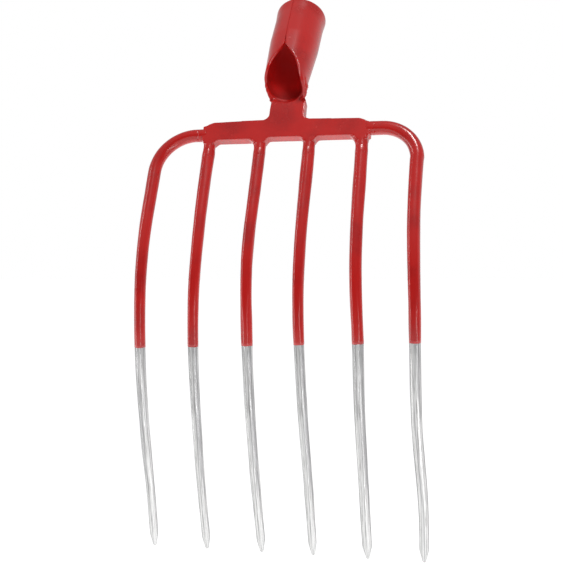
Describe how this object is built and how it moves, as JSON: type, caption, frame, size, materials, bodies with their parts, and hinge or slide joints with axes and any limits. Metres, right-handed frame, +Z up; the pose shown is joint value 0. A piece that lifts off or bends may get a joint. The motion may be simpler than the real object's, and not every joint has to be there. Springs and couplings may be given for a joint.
{
  "type": "hay fork head",
  "caption": "Red fork head with a rolled handle socket, a flat neck and crossbar, and long curved round tines painted half way down.",
  "frame": {"origin": "centre of the socket's mouth, where the wooden handle goes in", "axes": "+Z up with the tines hanging down, X along the crossbar, -Y towards the back of the fork, its bulging side with the socket's seam"},
  "size_m": [0.2488, 0.1325, 0.4893],
  "materials": {
    "red_paint": "glossy red paint over steel",
    "bare_steel": "bare ground steel, fine scratches along its length"
  },
  "bodies": {
    "root": {"socket": "red_paint", "crossbar_and_neck": "red_paint", "socket_weld": "red_paint", "tine_1": "bare_steel", "tine_1_weld": "red_paint", "tine_1_paint": "red_paint", "tine_2": "bare_steel", "tine_2_weld": "red_paint", "tine_2_paint": "red_paint", "tine_3": "bare_steel", "tine_3_weld": "red_paint", "tine_3_paint": "red_paint", "tine_4": "bare_steel", "tine_4_weld": "red_paint", "tine_4_paint": "red_paint", "tine_5": "bare_steel", "tine_5_weld": "red_paint", "tine_5_paint": "red_paint", "tine_6": "bare_steel", "tine_6_weld": "red_paint", "tine_6_paint": "red_paint"}
  },
  "joints": []
}
